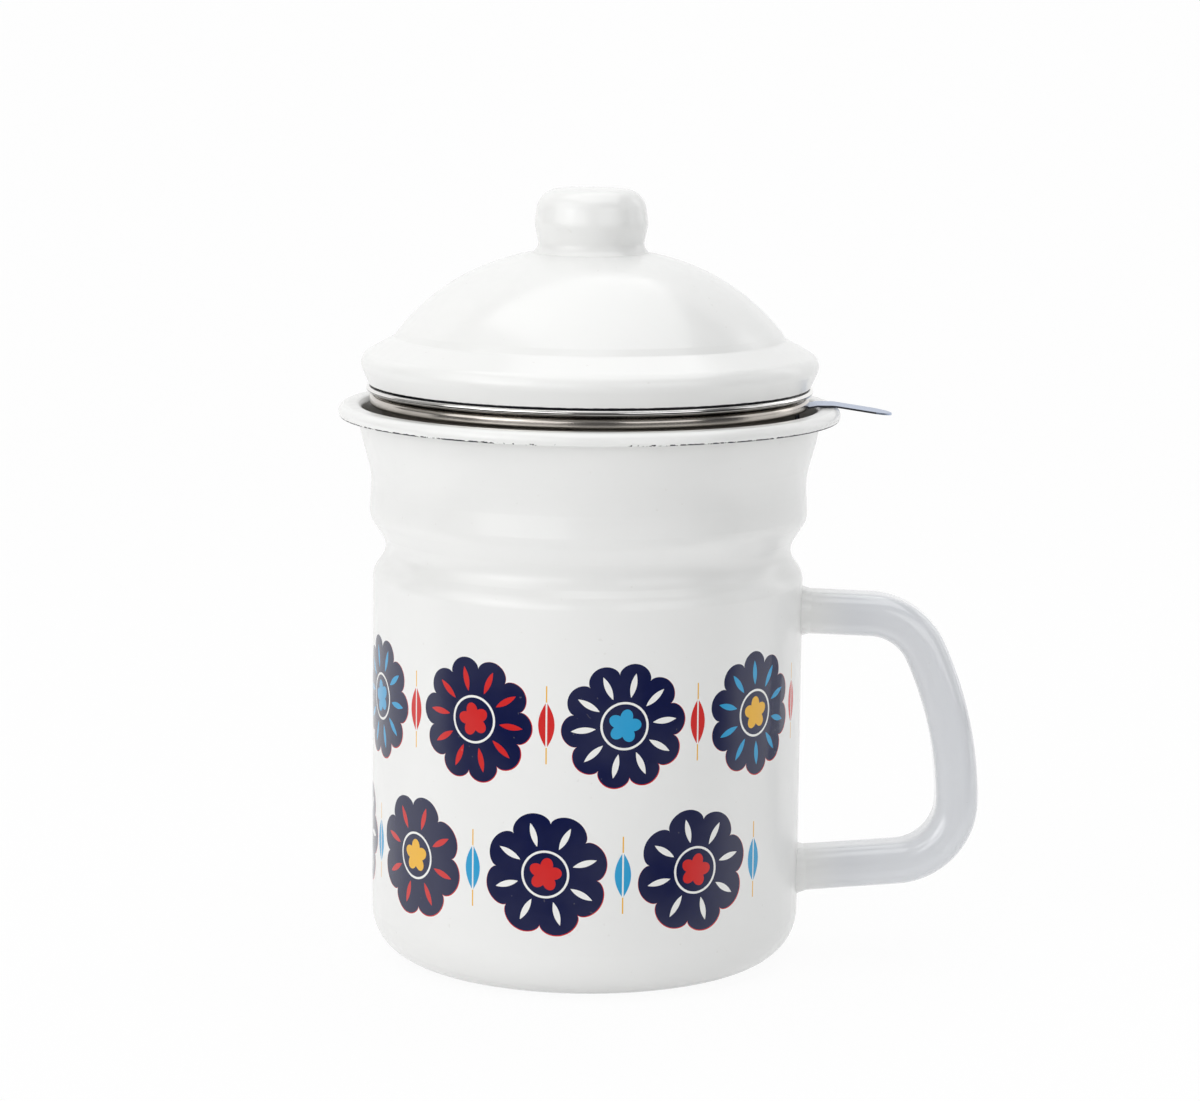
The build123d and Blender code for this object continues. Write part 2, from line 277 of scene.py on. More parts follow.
from_centre = distance_of(t, across, above)
petals = math_of(t, "ADD", FEWEST_PETALS, product_of(t, odd_row, MORE_PETALS))
angle = math_of(t, "MULTIPLY_ADD", pick_tilt, TILT, math_of(t, "ARCTAN2", above, across))
petal_step = math_of(t, "DIVIDE", 2 * pi, petals)
petal_count = math_of(t, "ADD", math_of(t, "DIVIDE", angle, petal_step), 10.5)
in_petal = product_of(
    t, math_of(t, "SUBTRACT", math_of(t, "FRACT", petal_count), 0.5), petal_step
)
bulge = math_of(t, "COSINE", product_of(t, in_petal, petals, 0.5))
lobe = math_of(t, "POWER", bulge, PETAL_FULLNESS)
petal_edge = product_of(
    t, flower_radius, math_of(t, "MULTIPLY_ADD", lobe, PETAL_CLEFT, 1.0 - PETAL_CLEFT)
)
navy = math_of(t, "LESS_THAN", from_centre, petal_edge)
# the red plate lies a hair off the navy one
slip_round = math_of(t, "COSINE", math_of(t, "ADD", angle, SLIP_TURN))
slip = math_of(t, "MULTIPLY_ADD", slip_round, SLIP_SWING, PLATE_SLIP)
fringe = math_of(t, "LESS_THAN", from_centre, math_of(t, "ADD", petal_edge, slip))


def pointed(along, aside, long_half, wide_half):
    """A shape with two points, such as a seed or a leaf, round the place (0, 0)."""
    reach = math_of(t, "DIVIDE", along, long_half)
    width = product_of(
        t, math_of(t, "SUBTRACT", 1.0, product_of(t, reach, reach)), wide_half
    )
    return math_of(t, "LESS_THAN", math_of(t, "ABSOLUTE", aside), width)


along_petal = product_of(t, from_centre, math_of(t, "COSINE", in_petal))
over_petal = product_of(t, from_centre, math_of(t, "SINE", in_petal))
seed = pointed(math_of(t, "SUBTRACT", along_petal, SEED_AT), over_petal, SEED_LONG, SEED_WIDE)
ring = math_of(t, "COMPARE", from_centre, RING_AT, RING_HALF)
heart_wave = math_of(t, "SINE", product_of(t, angle, HEART_LOBES / 2))
heart_edge = math_of(
    t, "MULTIPLY_ADD", math_of(t, "ABSOLUTE", heart_wave), HEART_LOBE, HEART_RADIUS
)
heart = math_of(t, "LESS_THAN", from_centre, heart_edge)
# leaf midway between two flowers, with its stalk
aside = math_of(t, "SUBTRACT", math_of(t, "ABSOLUTE", across), step_width / 2)
off_stalk = math_of(t, "ABSOLUTE", aside)
leaf = pointed(above, aside, LEAF_LONG, LEAF_WIDE)
vein = math_of(t, "LESS_THAN", off_stalk, VEIN_HALF)
stalk = product_of(
    t, math_of(t, "LESS_THAN", off_stalk, STALK_HALF),
    math_of(t, "LESS_THAN", math_of(t, "ABSOLUTE", above), STALK_LONG),
)
leaves_clear = math_of(t, "GREATER_THAN", math_of(t, "ABSOLUTE", turn), BARE_OF_LEAVES)


def drawn_colour(draw, first, second, third, second_from, third_from):
    """One of three inks, by the flower's own draw between 0 and 1."""
    colour = blend_of(t, math_of(t, "GREATER_THAN", draw, second_from), first, second)
    return blend_of(t, math_of(t, "GREATER_THAN", draw, third_from), colour, third)


heart_colour = drawn_colour(pick_heart, INK_YELLOW, INK_RED, INK_SKY, 0.38, 0.72)
seed_colour = drawn_colour(pick_seed, INK_SKY, INK_WHITE, INK_RED, 0.34, 0.67)
leaf_colour = blend_of(t, math_of(t, "GREATER_THAN", odd_row, 0.5), INK_SKY, INK_RED)
leaf_on = product_of(t, leaf, in_rows, leaves_clear)
flower_on = product_of(t, navy, printed)
paint = transfer_in.outputs["Ground"]
for mask, inked in (
    (product_of(t, stalk, in_rows, leaves_clear), INK_YELLOW),
    (leaf_on, leaf_colour),
    (product_of(t, vein, leaf_on), INK_WHITE),
    (product_of(t, fringe, printed), INK_RED),
    (flower_on, INK_NAVY),
    (product_of(t, seed, flower_on), seed_colour),
    (product_of(t, ring, flower_on), INK_WHITE),
    (product_of(t, heart, flower_on), heart_colour),
):
    paint = blend_of(t, mask, paint, inked)
t.links.new(paint, transfer_out.inputs["Colour"])
t.links.new(math_of(t, "MAXIMUM", flower_on, leaf_on), transfer_out.inputs["Ink"])


def enamel_material(name):
    """A material with its tree and its Principled shader, and nothing linked yet."""
    material = bpy.data.materials.new(name)
    material.use_nodes = True
    shader = material.node_tree.nodes["Principled BSDF"]
    shader.inputs["IOR"].default_value = ENAMEL_IOR
    shader.inputs["Coat Roughness"].default_value = CLEAR_COAT_ROUGHNESS
    return material, material.node_tree, shader


def coat_with_enamel(tree, shader, place, colour, gloss_loss=0.0, clear_coat=CLEAR_COAT):
    """The fired enamel of this colour, on the shader."""
    coat = use_group(tree, enamel_coat, Place=place, Colour=colour, Gloss_Loss=gloss_loss)
    feed(tree, shader.inputs["Coat Weight"], clear_coat)
    feed(tree, shader.inputs["Base Color"], coat.outputs["Colour"])
    feed(tree, shader.inputs["Roughness"], coat.outputs["Roughness"])
    bump_to(tree, shader, coat.outputs["Height"], ENAMEL_RELIEF)


def dress(name, material):
    """The CAD node gets this material and no other."""
    nodes[name].data.materials.clear()
    nodes[name].data.materials.append(material)


printed_enamel, tree, shader = enamel_material("printed enamel")
place, x, y, z = place_in_mm(tree)
out = distance_of(tree, x, y)
outside = math_of(tree, "GREATER_THAN", out, WALL_RADIUS - WALL_SKIN)
flowers = use_group(
    tree, transfer, Turn=math_of(tree, "ARCTAN2", y, x), Up=z, Ground=ENAMEL_WHITE
)
ink = flowers.outputs["Ink"]
on_wall = blend_of(tree, outside, ENAMEL_WHITE, flowers.outputs["Colour"])

# raw edge of the lip: dashes, dense on the left and by the handle and sparse between
LIP_FACE_OUT = 60.3
LIP_EDGE_UP, DASH_UP, DASH_WANDER = 135.0, 136.76, 0.6
DENSE, DENSER, SPARSE, CLOSED = 0.45, 0.44, 0.66, -0.20    # levels that the noise has to pass
THINNING_FROM, GONE_AT, BACK_AT, CLOSING_FROM, CLOSED_AT = -36.0, 4.0, 24.0, 44.0, 58.0   # X
edge_noise = noise_of(tree, place, 0.8, 4.0, 0.66)
left_level = ramp_of(tree, x, THINNING_FROM, GONE_AT, DENSER, SPARSE)
right_level = math_of(
    tree, "ADD", ramp_of(tree, x, GONE_AT, BACK_AT, SPARSE, DENSE),
    ramp_of(tree, x, CLOSING_FROM, CLOSED_AT, 0.0, CLOSED),
)
level = math_of(tree, "MINIMUM", left_level, right_level)
dash_top = math_of(tree, "MULTIPLY_ADD", edge_noise, DASH_WANDER, DASH_UP)
raw_edge = product_of(
    tree, math_of(tree, "GREATER_THAN", edge_noise, level),
    math_of(tree, "GREATER_THAN", out, LIP_FACE_OUT),
    above_and_below(tree, z, LIP_EDGE_UP, dash_top),
)
edged = blend_of(tree, raw_edge, on_wall, GROUND_COAT_AND_SHADE)

# foot: a thin teal line where the coat wore off on the firing pins
FOOT_FROM = 40.0
FOOT_LINE, FOOT_FADE, FOOT_SHARE = 0.25, 0.6, 0.85
foot_line = product_of(
    tree, ramp_of(tree, z, FOOT_LINE, FOOT_FADE, FOOT_SHARE, 0.0),
    math_of(tree, "GREATER_THAN", out, FOOT_FROM),
)
footed = blend_of(tree, foot_line, edged, FOOT_TEAL)

# painted shade inside the flared mouth, a brown darkening; the mouth widens upwards by this slope
MOUTH_UP, MOUTH_SLOPE = 138.5, 0.2
MOUTH_RADIUS, MOUTH_FADE = 57.1, 57.5
MOUTH_SHADE_FROM, MOUTH_SHADE_FULL, MOUTH_SHADE_SHARE = 118.0, 134.0, 0.35
mouth_out = math_of(
    tree, "MULTIPLY_ADD", math_of(tree, "SUBTRACT", MOUTH_UP, z), MOUTH_SLOPE, out
)
shade_in_mouth = product_of(
    tree, ramp_of(tree, mouth_out, MOUTH_RADIUS, MOUTH_FADE, 1.0, 0.0),
    ramp_of(tree, z, MOUTH_SHADE_FROM, MOUTH_SHADE_FULL, 0.0, MOUTH_SHADE_SHARE),
)
shaded_in_mouth = blend_of(tree, shade_in_mouth, footed, MOUTH_SHADE)

EDGE_DULLNESS, INK_DULLNESS = 0.35, -0.13
coat_with_enamel(
    tree, shader, place, shaded_in_mouth,
    gloss_loss=math_of(
        tree, "MULTIPLY_ADD", raw_edge, EDGE_DULLNESS, product_of(tree, ink, INK_DULLNESS)
    ),
    clear_coat=math_of(tree, "MULTIPLY_ADD", ink, -CLEAR_COAT, CLEAR_COAT),
)
dress("pot_body", printed_enamel)

# ---- handle -------------------------------------------------------------------------------
# Bent oval steel tube, welded to the wall at both ends before the pot is dipped, so the same
# enamel runs over tube and weld; the tube's white is painted darker and cooler, as painted shade.
# A small vent under the lower arm shows bare ground coat.

TUBE_SHADED_WHITE = (0.72, 0.735, 0.765, 1)
TUBE_DULLNESS, TUBE_CLEAR_COAT = -0.12, 0.6
# where the wall's white turns into the tube's painted shade
WELD_FROM, TUBE_FROM = 54.0, 68.0     # how far out the wall's coat turns into the tube's
VENT_AT, VENT_BELOW = 62.9, 19.0
VENT_RADIUS, VENT_FADE = 1.55, 1.95

handle_enamel, tree, shader = enamel_material("handle enamel")
place, x, y, z = place_in_mm(tree)
on_tube = ramp_of(tree, x, WELD_FROM, TUBE_FROM)
vent_out = distance_of(tree, math_of(tree, "SUBTRACT", x, VENT_AT), y)
vent_rim = product_of(
    tree, ramp_of(tree, vent_out, VENT_RADIUS, VENT_FADE, 1.0, 0.0),
    math_of(tree, "LESS_THAN", z, VENT_BELOW),
)
# painted shade: the tube's white is darker and cooler than the wall's
shaded_tube_coat = blend_of(tree, on_tube, ENAMEL_WHITE, TUBE_SHADED_WHITE)
coat_with_enamel(
    tree, shader, place, blend_of(tree, vent_rim, shaded_tube_coat, GROUND_COAT_AND_SHADE),
    gloss_loss=product_of(tree, on_tube, TUBE_DULLNESS),
    clear_coat=math_of(tree, "MULTIPLY_ADD", on_tube, TUBE_CLEAR_COAT, CLEAR_COAT),
)
dress("handle", handle_enamel)

# ---- lower strainer: woven cup ------------------------------------------------------------
# Stainless wire cloth, plain weave, drawn into a cup and cut level under the rolled band. The
# drawing shears the cloth, so the wires close up and lean on the corner and the wall.

WIRE_STEEL = (0.56, 0.55, 0.53, 1)
MARK_GREY = (0.26, 0.245, 0.23, 1)
# dark brown for painted shade in steel creases and along edges
SHADE_BROWN = (0.035, 0.028, 0.022, 1)
WIRE_PITCH = 1.5
WIRE_RADIUS = 0.19
WIRE_SIDES = 4
CRIMP = 0.9               # how far a wire swings over and under the others, of its radius
CLOTH_CORNER_AT = 42.2    # radius where the floor ends and the round corner starts
CLOTH_CORNER = 8.65
cloth_low, cloth_high = (1000 * corner.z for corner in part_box("mesh_bowl"))
CLOTH_FLOOR = cloth_low + 0.35        # the middle of the wires, half a weave above the lowest
CLOTH_TOP = cloth_high - 1.0

steel_marks, marks_in, marks_out = group_of(
    "steel working marks",
    [
        ("Marks Place", "NodeSocketVector", None),
        ("Colour", "NodeSocketColor", (0.6, 0.6, 0.6, 1)),
        ("Roughness", "NodeSocketFloat", 0.3),
        ("Spread", "NodeSocketFloat", 0.1),
    ],
    [
        ("Colour", "NodeSocketColor"),
        ("Roughness", "NodeSocketFloat"),
        ("Height", "NodeSocketFloat"),
    ],
)
m = steel_marks
fine_mark = noise_of(m, marks_in.outputs["Marks Place"], 1.0, 4.0, 0.7)
broad_mark = noise_of(m, marks_in.outputs["Marks Place"], 0.18, 2.0)
mark = math_of(m, "MULTIPLY_ADD", broad_mark, 0.4, product_of(m, fine_mark, 0.6))
darker = blend_of(
    m, ramp_of(m, mark, 0.35, 0.7, 0.0, 0.22), marks_in.outputs["Colour"], MARK_GREY
)
m.links.new(darker, marks_out.inputs["Colour"])
roughness_shift = product_of(
    m, math_of(m, "SUBTRACT", mark, 0.5), marks_in.outputs["Spread"]
)
m.links.new(
    math_of(m, "ADD", marks_in.outputs["Roughness"], roughness_shift),
    marks_out.inputs["Roughness"],
)
m.links.new(mark, marks_out.inputs["Height"])


def vector_of(tree, x, y, z):
    node = tree.nodes.new("ShaderNodeCombineXYZ")
    for socket, term in zip(node.inputs, (x, y, z)):
        feed(tree, socket, term)
    return node.outputs[0]


def steel_material(name, colour, roughness, spread, depth, run=vector_of, relief=None, painted_shade=None):
    """Stainless steel. Run says where the working marks lie and how they are drawn out,
    relief adds pressed marks, and painted_shade a place painted dark as shade."""
    material = bpy.data.materials.new(name)
    material.use_nodes = True
    tree = material.node_tree
    shader = tree.nodes["Principled BSDF"]
    shader.inputs["Metallic"].default_value = 1.0
    shader.inputs["IOR"].default_value = 2.5
    _, x, y, z = place_in_mm(tree)
    marks = use_group(
        tree, steel_marks, Marks_Place=run(tree, x, y, z),
        Colour=colour, Roughness=roughness, Spread=spread,
    )
    steel = marks.outputs["Colour"]
    if painted_shade:
        steel = blend_of(tree, painted_shade(tree, x, y, z), steel, SHADE_BROWN)
    height = marks.outputs["Height"]
    if relief:
        height = math_of(tree, "ADD", height, relief(tree, x, y, z))
    feed(tree, shader.inputs["Base Color"], steel)
    feed(tree, shader.inputs["Roughness"], marks.outputs["Roughness"])
    bump_to(tree, shader, height, depth)
    return material


woven_wire = steel_material("woven wire", WIRE_STEEL, roughness=0.34, spread=0.15, depth=0.00002)

weave = bpy.data.node_groups.new("drawn wire cloth", "GeometryNodeTree")
for label, value in (
    ("Pitch", WIRE_PITCH), ("Wire Radius", WIRE_RADIUS), ("Corner At", CLOTH_CORNER_AT),
    ("Corner Round", CLOTH_CORNER), ("Floor", CLOTH_FLOOR), ("Top", CLOTH_TOP),
):
    size = weave.interface.new_socket(label, in_out="INPUT", socket_type="NodeSocketFloat")
    size.default_value = value
weave.interface.new_socket("Wire", in_out="INPUT", socket_type="NodeSocketMaterial")
weave.interface.new_socket("Geometry", in_out="OUTPUT", socket_type="NodeSocketGeometry")
w = weave
w_in, w_out = w.nodes.new("NodeGroupInput"), w.nodes.new("NodeGroupOutput")


def vector_math(tree, operation, *terms, **named):
    """One vector math node, with its terms in order and any others by name."""
    node = tree.nodes.new("ShaderNodeVectorMath")
    node.operation = operation
    for socket, term in zip(node.inputs, terms):
        feed(tree, socket, term)
    for label, term in named.items():
        feed(tree, node.inputs[label], term)
    return node.outputs["Value" if operation == "LENGTH" else "Vector"]


def split_of(tree, vector):
    node = tree.nodes.new("ShaderNodeSeparateXYZ")
    tree.links.new(vector, node.inputs[0])
    return node.outputs


def step_of(tree, kind, geometry, **values):
    """One geometry node after another, with values on its named inputs."""
    node = tree.nodes.new(kind)
    tree.links.new(geometry, node.inputs[0])
    for label, term in values.items():
        feed(tree, node.inputs[label.replace("_", " ")], term)
    return node


pitch, wire_radius = w_in.outputs["Pitch"], w_in.outputs["Wire Radius"]
corner_at, corner_round = w_in.outputs["Corner At"], w_in.outputs["Corner Round"]
corner_length = product_of(w, corner_round, pi / 2)
cup_height = math_of(w, "SUBTRACT", w_in.outputs["Top"], w_in.outputs["Floor"])
wall_length = math_of(w, "SUBTRACT", cup_height, corner_round)
cloth_reach = math_of(w, "ADD", math_of(w, "ADD", corner_at, corner_length), wall_length)
wires_out = math_of(
    w, "ADD", math_of(w, "CEIL", math_of(w, "DIVIDE", cloth_reach, pitch)), 1.0
)
count = math_of(w, "MULTIPLY_ADD", wires_out, 2.0, 1.0)
width = product_of(w, wires_out, 2.0, pitch)
grid = w.nodes.new("GeometryNodeMeshGrid")
for label, term in (
    ("Size X", width), ("Size Y", width), ("Vertices X", count), ("Vertices Y", count)
):
    feed(w, grid.inputs[label], term)
join_wires = w.nodes.new("GeometryNodeJoinGeometry")
for other_way, side in (("Y", 1.0), ("X", -1.0)):
    # the grid's edges that run one way become wires, out to the cloth's reach
    ends = w.nodes.new("GeometryNodeInputMeshEdgeVertices")
    span = vector_math(w, "SUBTRACT", ends.outputs["Position 1"], ends.outputs["Position 2"])
    stray = math_of(w, "ABSOLUTE", split_of(w, span)[other_way])
    drop = step_of(
        w, "GeometryNodeDeleteGeometry", grid.outputs["Mesh"],
        Selection=math_of(w, "GREATER_THAN", stray, 0.01),
    )
    drop.domain = "EDGE"
    drop.mode = "EDGE_FACE"
    flat = w.nodes.new("GeometryNodeInputPosition").outputs[0]
    out_flat = vector_math(w, "LENGTH", flat)
    trim = step_of(
        w, "GeometryNodeDeleteGeometry", drop.outputs[0],
        Selection=math_of(w, "GREATER_THAN", out_flat, cloth_reach),
    )
    trim.domain = "POINT"
    # over and under at each crossing
    flat_x, flat_y, _ = split_of(w, flat)
    crossing = math_of(
        w, "ADD", math_of(w, "ROUND", math_of(w, "DIVIDE", flat_x, pitch)),
        math_of(w, "ROUND", math_of(w, "DIVIDE", flat_y, pitch)),
    )
    over = math_of(w, "MULTIPLY_ADD", math_of(w, "FLOORED_MODULO", crossing, 2.0), 2.0, -1.0)
    lift = product_of(w, over, side, product_of(w, wire_radius, CRIMP))
    # drawn from the flat to the cup: floor, round corner and straight wall
    past = math_of(w, "MAXIMUM", math_of(w, "SUBTRACT", out_flat, corner_at), 0.0)
    bend = math_of(w, "MINIMUM", math_of(w, "DIVIDE", past, corner_round), pi / 2)
    corner_out = product_of(
        w, math_of(w, "SINE", bend), math_of(w, "SUBTRACT", corner_round, lift)
    )
    cup_out = math_of(w, "ADD", math_of(w, "MINIMUM", out_flat, corner_at), corner_out)
    rise = product_of(
        w, math_of(w, "SUBTRACT", 1.0, math_of(w, "COSINE", bend)), corner_round
    )
    straight = math_of(w, "MAXIMUM", math_of(w, "SUBTRACT", past, corner_length), 0.0)
    cup_up = math_of(
        w, "ADD", math_of(w, "ADD", w_in.outputs["Floor"], rise),
        math_of(w, "MULTIPLY_ADD", math_of(w, "COSINE", bend), lift, straight),
    )
    drawn = vector_math(w, "SCALE", vector_math(w, "NORMALIZE", flat), Scale=cup_out)
    shaped = vector_math(w, "ADD", drawn, vector_of(w, 0.0, 0.0, cup_up))
    move = step_of(
        w, "GeometryNodeSetPosition", trim.outputs[0],
        Position=vector_math(w, "SCALE", shaped, Scale=0.001),
    )
    wires = step_of(w, "GeometryNodeMeshToCurve", move.outputs[0])
    w.links.new(wires.outputs[0], join_wires.inputs[0])
round_wire = w.nodes.new("GeometryNodeCurvePrimitiveCircle")
feed(w, round_wire.inputs["Resolution"], WIRE_SIDES)
feed(w, round_wire.inputs["Radius"], product_of(w, wire_radius, 0.001))
thick = step_of(
    w, "GeometryNodeCurveToMesh", join_wires.outputs[0],
    Profile_Curve=round_wire.outputs[0], Fill_Caps=True,
)
real = step_of(w, "GeometryNodeRealizeInstances", thick.outputs[0])
steeled = step_of(
    w, "GeometryNodeSetMaterial", real.outputs[0], Material=w_in.outputs["Wire"]
)
w.links.new(steeled.outputs[0], w_out.inputs[0])


def grown(name, tree, **values):
    """A plain mesh object made by a Geometry Nodes tree with its named inputs set."""
    start = bpy.data.objects.new(name + "_start", bpy.data.meshes.new(name + "_start"))
    bpy.context.scene.collection.objects.link(start)
    modifier = start.modifiers.new(name, "NODES")
    modifier.node_group = tree
    for item in tree.interface.items_tree:
        if item.item_type == "SOCKET" and item.in_out == "INPUT" and item.name in values:
            modifier[item.identifier] = values[item.name]
    start.update_tag()
    graph = bpy.context.evaluated_depsgraph_get()
    mesh = bpy.data.meshes.new_from_object(
        start.evaluated_get(graph), preserve_all_data_layers=True, depsgraph=graph
    )
    start.modifiers.clear()
    bpy.data.objects.remove(start)
    mesh.name = name
    made = bpy.data.objects.new(name, mesh)
    bpy.context.scene.collection.objects.link(made)
    return made


wire_cloth = grown("wire_cloth", weave, Wire=woven_wire)
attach(wire_cloth, "mesh_strainer")
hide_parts("mesh_bowl")

# ---- lower strainer: rolled band ------------------------------------------------------------
# Thin stainless strip, rolled over at the top and spun round the cup. The spinning leaves fine
# rings round the band, and the cloth's wires press a faint row of ticks into the roll.

BAND_STEEL = (0.56, 0.52, 0.475, 1)
BAND_BORE = 51.2
BAND_SHEET, BAND_DEPTH, ROLL_HEIGHT = 0.5, 8.0, 2.8
ROLL_SHOULDER, ROLL_TOP_ROUND, ROLL_LOW_ROUND = 1.0, 1.05, 0.84
BAND_STEPS = 720
TICK_STEP, TICK_SLANT, TICK_DEPTH = 0.8, 3.0, 0.45
TICKS_RADIUS, ROLL_FACE_OUT = 54.0, 53.9
TICKS_LOW, TICKS_FULL, TICKS_FADE, TICKS_HIGH = 2.0, 1.7, 1.15, 0.8    # below the band's top
RINGS, RING_DRAWN_OUT = 7.0, 0.05      # waves per millimetre over a strip and along it
band_top = 1000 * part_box("mesh_rim")[1].z
band_reach = 1000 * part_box("mesh_rim")[1].x


def turned_marks(tree, x, y, z):
    """Marks that run round the axis: fine over the strip, slow along it."""
    over_strip = product_of(tree, math_of(tree, "ADD", distance_of(tree, x, y), z), RINGS)
    return vector_of(
        tree, product_of(tree, x, RING_DRAWN_OUT), product_of(tree, y, RING_DRAWN_OUT), over_strip
    )


def pressed_ticks(tree, x, y, z):
    """Slanting ticks on the roll, deeper here and there."""
    along = product_of(
        tree, math_of(tree, "ARCTAN2", y, x), 2 * pi * TICKS_RADIUS / TICK_STEP
    )
    slanted = math_of(tree, "SINE", math_of(tree, "MULTIPLY_ADD", z, TICK_SLANT, along))
    patchy = noise_of(tree, vector_of(tree, x, y, z), 0.03, 2.0)
    return product_of(
        tree, slanted, ramp_of(tree, patchy, 0.42, 0.62, 0.1, 1.0),
        ramp_of(tree, z, band_top - TICKS_LOW, band_top - TICKS_FULL),
        ramp_of(tree, z, band_top - TICKS_FADE, band_top - TICKS_HIGH, 1.0, 0.0),
        math_of(tree, "GREATER_THAN", distance_of(tree, x, y), ROLL_FACE_OUT), TICK_DEPTH,
    )


def bend_points(out, up, radius, start, end, steps=10):
    """Points on a bend round (out, up), from start to end degrees."""
    turns = [radians(start + (end - start) * i / steps) for i in range(steps + 1)]
    return [(out + radius * cos(turn), up + radius * sin(turn)) for turn in turns]


def spun(name, outline, steps):
    """Closed outline in millimetres, turned once round the axis."""
    turns = [2 * pi * i / steps for i in range(steps)]
    points = [
        (0.001 * out * cos(turn), 0.001 * out * sin(turn), 0.001 * up)
        for turn in turns for out, up in outline
    ]
    n = len(outline)
    faces = []
    for i in range(steps):
        here, there = i * n, (i + 1) % steps * n
        for j in range(n):
            after = (j + 1) % n
            faces.append((here + j, here + after, there + after, there + j))
    mesh = bpy.data.meshes.new(name)
    mesh.from_pydata(points, [], faces)
    for face in mesh.polygons:
        face.use_smooth = True
    mesh.set_sharp_from_angle(angle=radians(40))
    made = bpy.data.objects.new(name, mesh)
    bpy.context.scene.collection.objects.link(made)
    return made


band_steel = steel_material(
    "band steel", BAND_STEEL, roughness=0.17, spread=0.10, depth=0.00001,
    run=turned_marks, relief=pressed_ticks,
)
shoulder = (BAND_BORE + ROLL_SHOULDER, band_top - ROLL_SHOULDER)
top_bend = (band_reach - ROLL_TOP_ROUND, band_top - ROLL_TOP_ROUND)
low_bend = (band_reach - ROLL_LOW_ROUND, band_top - ROLL_HEIGHT + ROLL_LOW_ROUND)
roll_outline = (
    [(BAND_BORE, band_top - BAND_DEPTH)]
    + bend_points(*shoulder, ROLL_SHOULDER, 180, 90)
    + bend_points(*top_bend, ROLL_TOP_ROUND, 90, 0)
    + bend_points(*low_bend, ROLL_LOW_ROUND, 0, -90)
    + [(shoulder[0], band_top - ROLL_HEIGHT), (shoulder[0], band_top - ROLL_HEIGHT + BAND_SHEET)]
    + bend_points(*low_bend, ROLL_LOW_ROUND - BAND_SHEET, -90, 0)
    + bend_points(*top_bend, ROLL_TOP_ROUND - BAND_SHEET, 0, 90)
    + bend_points(*shoulder, ROLL_SHOULDER - BAND_SHEET, 90, 180)
    + [(BAND_BORE + BAND_SHEET, band_top - BAND_DEPTH)]
)
rolled_band = spun("rolled_band", roll_outline, BAND_STEPS)
rolled_band.data.materials.append(band_steel)
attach(rolled_band, "mesh_strainer")
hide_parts("mesh_rim")

# ---- lower strainer: clamp ring -------------------------------------------------------------
# Inner strip of the same stainless, pressed out against the band so that the cloth is caught
# between the two.

dress("mesh_clamp_ring", band_steel)

# ---- lower strainer: tongue -----------------------------------------------------------------
# Stainless tongue, sheared from thin strip, bent over the lip and welded to the band. It is
# bluish grey, and its sides are painted dark as shade.

TONGUE_STEEL = (0.40, 0.47, 0.62, 1)
SIDE_SHADE_FROM, SIDE_SHADE_SHARE = 4.93, 0.85
MARKS_ALONG, MARKS_OVER = 0.12, 6.0    # waves per millimetre


def lengthwise_marks(tree, x, y, z):
    """Marks that run out along the tongue."""
    return vector_of(tree, product_of(tree, x, MARKS_ALONG), product_of(tree, y, MARKS_OVER), z)


def side_shade(tree, x, y, z):
    """The tongue's sides, painted dark as shade."""
    at_side = math_of(tree, "GREATER_THAN", math_of(tree, "ABSOLUTE", y), SIDE_SHADE_FROM)
    return product_of(tree, at_side, SIDE_SHADE_SHARE)


tongue_steel = steel_material(
    "tongue steel", TONGUE_STEEL, roughness=0.33, spread=0.08, depth=0.00001,
    run=lengthwise_marks, painted_shade=side_shade,
)
dress("strainer_tab", tongue_steel)

# ---- upper strainer -----------------------------------------------------------------------
# One stainless blank, drawn into a cup with a curled flange and a punched floor. Drawing
# leaves a bright wall with faint rings, and the curl closes on a thin seam, painted dark as shade.

CUP_STEEL = (0.86, 0.85, 0.83, 1)
HEM_FROM = 55.2
SEAM_HALF, SEAM_FADE, SEAM_SHARE = 0.08, 0.17, 0.9
seam_up = 1000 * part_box("punched_cup")[1].z - 0.87


def hem_seam_shade(tree, x, y, z):
    """Painted shade: a dark line where the flange's curled edge closes."""
    off_line = math_of(tree, "ABSOLUTE", math_of(tree, "SUBTRACT", z, seam_up))
    return product_of(
        tree, ramp_of(tree, off_line, SEAM_HALF, SEAM_FADE, SEAM_SHARE, 0.0),
        math_of(tree, "GREATER_THAN", distance_of(tree, x, y), HEM_FROM),
    )


cup_steel = steel_material(
    "cup steel", CUP_STEEL, roughness=0.13, spread=0.08, depth=0.00001,
    run=turned_marks, painted_shade=hem_seam_shade,
)
dress("punched_cup", cup_steel)

# ---- lid ----------------------------------------------------------------------------------
# Domed steel pressing with a bead and a skirt, dipped and fired like the pot. The edge that
# stands on the strainer's hem is painted near-black, as painted shade in the gap under the lid.

LID_EDGE_OUT = 53.9
LID_EDGE_LOW, LID_EDGE_TOP, LID_EDGE_WANDER = 144.0, 144.82, 0.25

lid_enamel, tree, shader = enamel_material("lid enamel")
place, x, y, z = place_in_mm(tree)
# painted shade: a near-black band round the lid's lower edge, for the gap over the hem
lid_shade_top = math_of(
    tree, "MULTIPLY_ADD", noise_of(tree, place, 0.5, 2.0), LID_EDGE_WANDER, LID_EDGE_TOP
)
lid_edge_shade = product_of(
    tree, math_of(tree, "GREATER_THAN", distance_of(tree, x, y), LID_EDGE_OUT),
    above_and_below(tree, z, LID_EDGE_LOW, lid_shade_top),
)
coat_with_enamel(tree, shader, place, blend_of(tree, lid_edge_shade, ENAMEL_WHITE, GROUND_COAT_AND_SHADE))
dress("lid_shell", lid_enamel)

# ---- knob ---------------------------------------------------------------------------------
# Hollow steel pressing, welded on the lid's crown before the two are dipped together, so it
# has the lid's enamel.

dress("lid_knob", lid_enamel)

